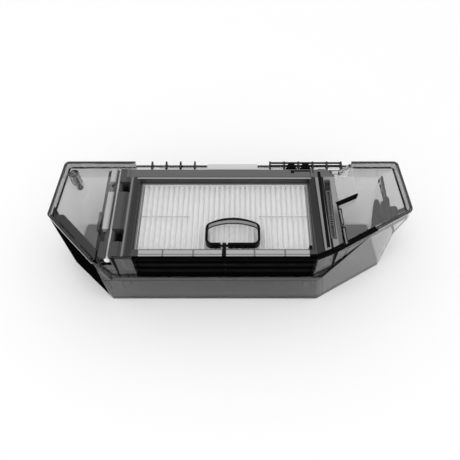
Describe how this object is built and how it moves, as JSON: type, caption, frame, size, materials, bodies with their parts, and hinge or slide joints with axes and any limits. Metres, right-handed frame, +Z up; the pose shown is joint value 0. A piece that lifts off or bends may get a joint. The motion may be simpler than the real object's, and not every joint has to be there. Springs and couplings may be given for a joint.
{
  "type": "robot vacuum dust bin",
  "caption": "Flat wide dust bin of a robot vacuum: smoked clear tub with two wings, hinged door with a pleated filter, pull ring, front louvre and rear inlet flap.",
  "frame": {"origin": "middle of the footprint, on the surface that the tub stands on", "axes": "+X to the right along the long side, seen from the front; the louvred front faces -Y; +Z up"},
  "size_m": [0.2147, 0.0728, 0.046],
  "materials": {
    "tub_plastic": "smoked, see-through",
    "cover_plastic": "smoked, see-through",
    "clear_plastic": "clear",
    "comb_plastic": "gloss",
    "pad_plastic": "satin",
    "strip_plastic": "gloss",
    "door_plastic": "gloss",
    "bracket_plastic": "smoked, gloss",
    "filter_plastic": "satin",
    "black_plastic": "satin",
    "ring_plastic": "gloss",
    "slider_plastic": "satin",
    "black_mesh": "fine weave",
    "steel_mesh": "fine weave",
    "steel": "bright",
    "rubber": "matt",
    "foam": "matt",
    "filter_paper": "matt",
    "thread": "matt"
  },
  "bodies": {
    "bin": {"tub": "tub_plastic", "top_cover": "cover_plastic", "cover_screws": "steel", "hinge_pin": "steel", "outlet_louvre": "black_plastic", "outlet_mesh": "black_mesh", "groove_seal": "rubber", "edge_seal": "rubber", "rear_panel": "clear_plastic", "rear_comb_left": "comb_plastic", "rear_comb_right": "comb_plastic", "rear_pad": "pad_plastic", "rear_catch": "black_plastic", "inlet_throat": "black_plastic", "inlet_seal": "rubber", "flap_pin": "steel", "left_pad_strip": "strip_plastic", "right_bracket": "bracket_plastic"},
    "door": {"door_frame": "door_plastic", "tab_edge": "rubber", "door_trim": "rubber", "catch_plate": "black_plastic", "door_gasket": "rubber", "screen_frame": "black_plastic", "screen_mesh": "steel_mesh", "filter_frame": "filter_plastic", "filter_gasket": "foam", "filter_pleats": "filter_paper", "pleat_thread": "thread", "front_strip": "clear_plastic", "strip_clip": "black_plastic", "ring_post": "black_plastic", "latch_rail": "black_plastic", "latch_spring": "steel"},
    "latch": {"latch_slider": "slider_plastic"},
    "ring": {"pull_ring": "ring_plastic"},
    "flap": {"inlet_flap": "black_plastic"}
  },
  "joints": [
    {"name": "door_hinge", "type": "hinge", "parent": "bin", "child": "door", "pos_m": [-0.0692, 0, 0.0422], "axis": [0, -1, 0], "range_deg": [0, 110]},
    {"name": "latch_slide", "type": "slide", "parent": "door", "child": "latch", "axis": [0, 1, 0], "range_m": [0, 0.004], "stiffness_N_per_m": 150, "springref_m": -0.002, "deforming": ["latch_spring"]},
    {"name": "ring_hinge", "type": "hinge", "parent": "door", "child": "ring", "pos_m": [0, -0.0234, 0.04375], "axis": [1, 0, 0], "range_deg": [0, 95]},
    {"name": "flap_hinge", "type": "hinge", "parent": "bin", "child": "flap", "pos_m": [0, 0.0185, 0.0233], "axis": [-1, 0, 0], "range_deg": [0, 60]}
  ]
}
